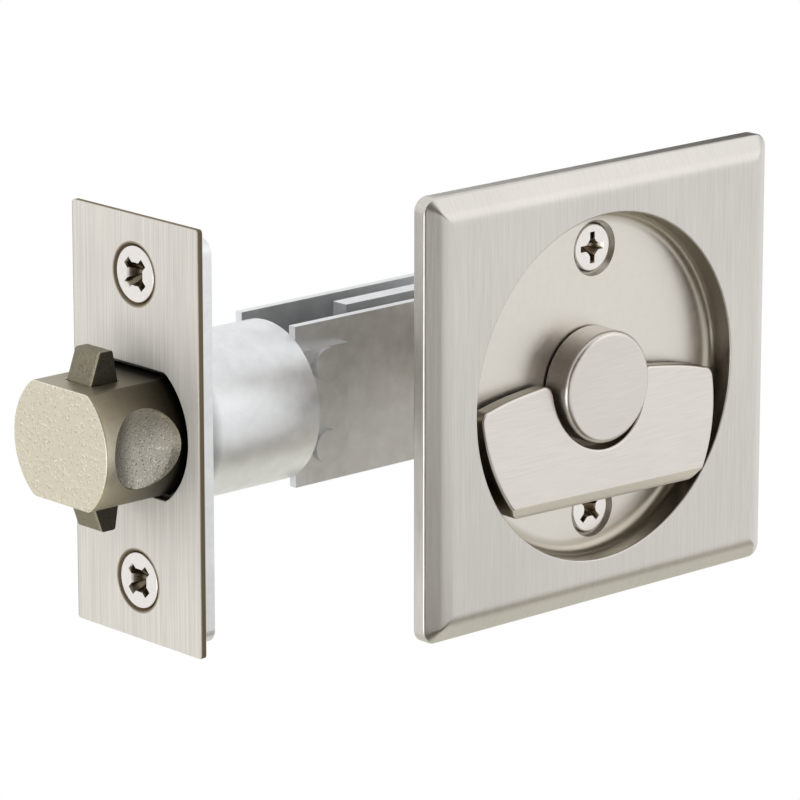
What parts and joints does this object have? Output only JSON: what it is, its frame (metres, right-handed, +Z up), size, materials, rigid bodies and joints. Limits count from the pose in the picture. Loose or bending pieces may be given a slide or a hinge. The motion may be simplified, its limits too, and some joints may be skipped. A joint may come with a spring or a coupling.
{
  "type": "pocket door lock",
  "caption": "Square flush plate with a round finger recess and thumb turn, working an edge latch whose flatted round bolt carries claws that hold a sliding pocket door shut.",
  "frame": {"origin": "on the spindle axis, on the door face that the flush plate's back lies against", "axes": "+X from the bolt towards the spindle, along the latch; +Y into the door; +Z up"},
  "size_m": [0.1048, 0.0398, 0.0604],
  "materials": {
    "satin_plate": "satin nickel plate, brushed along the height",
    "satin_turn": "satin nickel plate, brushed across",
    "screw_plating": "bright nickel plate",
    "brushed_face": "brushed nickel plate",
    "cast_bolt": "cast and plated, finely pitted",
    "sintered_claw": "dark sintered steel",
    "zinc_steel": "bright zinc plate",
    "bright_steel": "drawn bright steel",
    "bushing_bronze": "plain turned bronze"
  },
  "bodies": {
    "lock": {"flush_plate": "satin_plate", "cup_screws": "screw_plating", "turn_bushing": "bushing_bronze", "thrust_washer": "zinc_steel", "face_plate": "brushed_face", "backing_plate": "zinc_steel", "face_plate_screws": "screw_plating", "latch_tube": "zinc_steel", "case_side_near": "zinc_steel", "case_side_far": "zinc_steel", "case_rivets": "zinc_steel"},
    "turn": {"turn_wing": "satin_turn", "turn_knob": "satin_turn", "spindle": "bright_steel", "retaining_clip": "bright_steel", "hub": "bright_steel", "crank_pin": "bright_steel"},
    "tail": {"tail_fork": "zinc_steel"},
    "bolt": {"bolt": "cast_bolt", "bolt_pin": "bright_steel"},
    "upper_claw": {"upper_claw": "sintered_claw", "upper_claw_pin": "bright_steel"},
    "lower_claw": {"lower_claw": "sintered_claw", "lower_claw_pin": "bright_steel"}
  },
  "joints": [
    {"name": "thumb_turn", "type": "hinge", "parent": "lock", "child": "turn", "pos_m": [0, 0, 0], "axis": [0, 1, 0], "range_deg": [0, 90]},
    {"name": "tail_slide", "type": "slide", "parent": "lock", "child": "tail", "axis": [1, 0, 0], "range_m": [0, 0.012]},
    {"name": "bolt_slide", "type": "slide", "parent": "lock", "child": "bolt", "axis": [1, 0, 0], "range_m": [0, 0.0074]},
    {"name": "upper_claw_slide", "type": "slide", "parent": "bolt", "child": "upper_claw", "axis": [0, 0, -1], "range_m": [0, 0.0046]},
    {"name": "lower_claw_slide", "type": "slide", "parent": "bolt", "child": "lower_claw", "axis": [0, 0, 1], "range_m": [0, 0.0046]}
  ],
  "couplings": [
    {"joint": "tail_slide", "follows": "thumb_turn", "m_per_rad": 0.0076394},
    {"joint": "bolt_slide", "follows": "thumb_turn", "m_per_rad": 0.004711},
    {"joint": "upper_claw_slide", "follows": "thumb_turn", "m_per_rad": 0.0029284},
    {"joint": "lower_claw_slide", "follows": "thumb_turn", "m_per_rad": 0.0029284}
  ]
}
